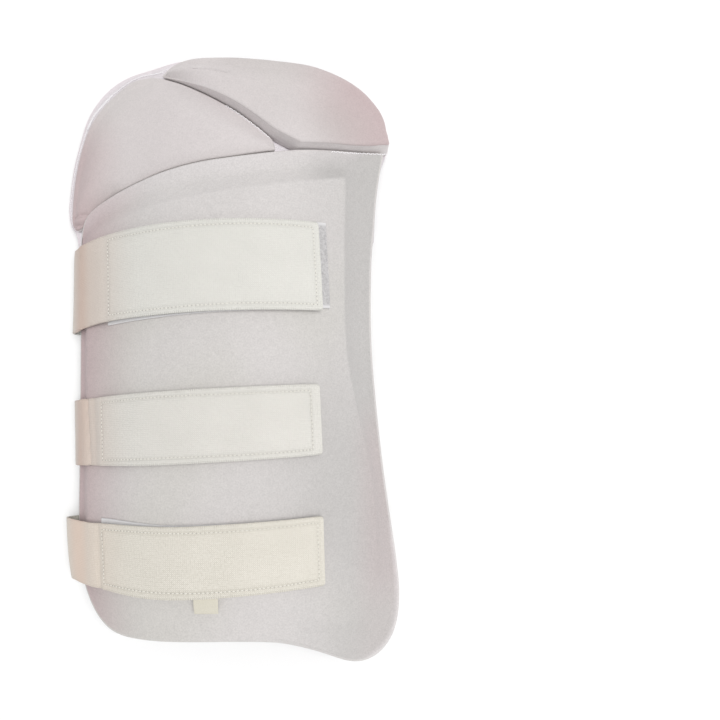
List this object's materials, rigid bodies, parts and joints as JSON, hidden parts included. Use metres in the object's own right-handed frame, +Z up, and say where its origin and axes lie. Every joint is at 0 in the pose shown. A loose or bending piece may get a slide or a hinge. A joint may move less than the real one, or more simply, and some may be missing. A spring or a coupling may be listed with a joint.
{
  "type": "cricket thigh guard",
  "caption": "White cricket thigh guard: an arched moulded thigh pad with two hip pads above it and elastic straps that wrap round to hook-and-loop patches.",
  "frame": {"origin": "centre of the bounding box in plan, at the height of the surface that it lies on", "axes": "+X across the thigh towards the side where the straps are sewn, +Y along the thigh from the knee end to the hip end, +Z up, away from the hollow inner face"},
  "size_m": [0.2566, 0.4408, 0.0739],
  "materials": {
    "pad_cloth": "smooth matt knit laminated over foam",
    "backing_cloth": "matt brushed lining cloth",
    "loop_pile": "short brushed loop pile",
    "hook_tape": "fine hooked tape",
    "elastic": "ribbed woven elastic",
    "label_tape": "smooth woven tape"
  },
  "bodies": {
    "root": {"thigh_pad": "pad_cloth", "hip_backing": "backing_cloth", "hip_panel_lower": "pad_cloth", "hip_panel_upper": "pad_cloth", "loop_patch_top": "loop_pile", "loop_patch_middle": "loop_pile", "loop_patch_bottom": "loop_pile", "hook_patch_top": "hook_tape", "hook_patch_middle": "hook_tape", "hook_patch_bottom": "hook_tape", "strap_top": "elastic", "strap_middle": "elastic", "strap_bottom": "elastic", "size_label": "label_tape"}
  },
  "joints": []
}
